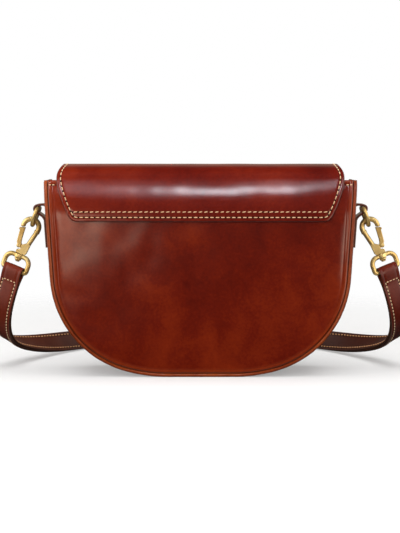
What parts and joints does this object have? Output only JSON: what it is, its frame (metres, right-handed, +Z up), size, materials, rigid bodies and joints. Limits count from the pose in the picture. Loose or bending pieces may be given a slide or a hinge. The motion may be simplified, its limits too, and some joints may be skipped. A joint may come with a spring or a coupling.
{
  "type": "shoulder bag",
  "caption": "D-shaped leather shoulder bag: piped rim, roll-over flap with a magnetic snap, swivel trigger hooks and a flat strap.",
  "frame": {"origin": "middle of the bag's flat bottom, on the surface it stands on", "axes": "+Z up, +X along the bag's width, -Y towards the back panel that the flap is sewn to, +Y towards the side the flap closes over"},
  "size_m": [0.371, 0.2339, 0.1826],
  "materials": {
    "leather_body": "glossy vegetable-tanned leather, mottled red brown",
    "leather_rim": "glossy leather, lighter orange brown on piping and gusset",
    "leather_flap": "glossy leather with pale contrast stitching",
    "leather_strap": "satin leather, two layers stitched along both edges",
    "suede_lining": "napped tan lining",
    "antique_brass": "antique brass, dark in the corners",
    "spring_steel": "plain spring steel"
  },
  "bodies": {
    "bag": {"back_panel": "leather_body", "front_panel": "leather_body", "gusset": "leather_rim", "back_piping": "leather_rim", "front_piping": "leather_rim", "lining": "suede_lining", "flap_back_band": "leather_flap", "magnet_socket": "antique_brass", "magnet_socket_washer": "spring_steel", "ring_tab_left": "leather_rim", "ring_tab_right": "leather_rim"},
    "flap_rear": {"flap_bridge_back": "leather_flap", "flap_bridge_back_lining": "suede_lining"},
    "flap_fore": {"flap_bridge_front": "leather_flap", "flap_bridge_front_lining": "suede_lining"},
    "flap_hanging": {"flap_front": "leather_flap", "flap_front_lining": "suede_lining", "magnet_stud": "antique_brass", "magnet_stud_washer": "spring_steel"},
    "ring_left": {"d_ring_left": "antique_brass"},
    "ring_right": {"d_ring_right": "antique_brass"},
    "strap": {"strap_outer": "leather_strap", "strap_inner": "leather_strap"},
    "eye_left": {"swivel_eye_left": "antique_brass"},
    "eye_right": {"swivel_eye_right": "antique_brass"},
    "hook_left": {"hook_body_left": "antique_brass", "gate_pin_left": "antique_brass", "gate_spring_left": "spring_steel"},
    "hook_right": {"hook_body_right": "antique_brass", "gate_pin_right": "antique_brass", "gate_spring_right": "spring_steel"},
    "gate_left": {"hook_gate_left": "antique_brass"},
    "gate_right": {"hook_gate_right": "antique_brass"}
  },
  "joints": [
    {"name": "flap_open", "type": "hinge", "parent": "bag", "child": "flap_rear", "pos_m": [0, -0.02801, 0.17134], "axis": [1, 0, 0], "range_deg": [0, 150]},
    {"name": "flap_middle_unroll", "type": "hinge", "parent": "flap_rear", "child": "flap_fore", "pos_m": [0, 0.00039, 0.1825], "axis": [1, 0, 0], "range_deg": [0, 90]},
    {"name": "flap_front_unroll", "type": "hinge", "parent": "flap_fore", "child": "flap_hanging", "pos_m": [0, 0.03294, 0.17181], "axis": [1, 0, 0], "range_deg": [0, 90]},
    {"name": "strap_swing", "type": "hinge", "parent": "bag", "child": "strap", "pos_m": [0, 0, 0.1397], "axis": [1, 0, 0], "range_deg": [0, 45]},
    {"name": "ring_swing_left", "type": "hinge", "parent": "bag", "child": "ring_left", "pos_m": [-0.14268, 0, 0.14346], "axis": [0, 1, 0], "range_deg": [-5, 5]},
    {"name": "eye_tilt_left", "type": "hinge", "parent": "strap", "child": "eye_left", "pos_m": [-0.1643, 0, 0.08953], "axis": [0.8937, -0.309, -0.3253], "range_deg": [-3, 3]},
    {"name": "hook_swivel_left", "type": "hinge", "parent": "eye_left", "child": "hook_left", "pos_m": [-0.159, 0, 0.1041], "axis": [0.342, 0, 0.9397], "range_deg": [-15, 15]},
    {"name": "gate_open_left", "type": "hinge", "parent": "hook_left", "child": "gate_left", "pos_m": [-0.15992, 0, 0.11092], "axis": [0, 1, 0], "range_deg": [0, 20], "stiffness_Nm_per_rad": 0.03, "springref_deg": -17.19, "deforming": ["gate_spring_left"]},
    {"name": "ring_swing_right", "type": "hinge", "parent": "bag", "child": "ring_right", "pos_m": [0.14268, 0, 0.14346], "axis": [0, -1, 0], "range_deg": [-5, 5]},
    {"name": "eye_tilt_right", "type": "hinge", "parent": "strap", "child": "eye_right", "pos_m": [0.1643, 0, 0.08953], "axis": [0.8937, 0.309, 0.3253], "range_deg": [-3, 3]},
    {"name": "hook_swivel_right", "type": "hinge", "parent": "eye_right", "child": "hook_right", "pos_m": [0.159, 0, 0.1041], "axis": [0.342, 0, -0.9397], "range_deg": [-15, 15]},
    {"name": "gate_open_right", "type": "hinge", "parent": "hook_right", "child": "gate_right", "pos_m": [0.15992, 0, 0.11092], "axis": [0, -1, 0], "range_deg": [0, 20], "stiffness_Nm_per_rad": 0.03, "springref_deg": -17.19, "deforming": ["gate_spring_right"]}
  ],
  "couplings": [
    {"joint": "flap_middle_unroll", "follows": "flap_open", "ratio": 0.6},
    {"joint": "flap_front_unroll", "follows": "flap_open", "ratio": 0.6}
  ]
}
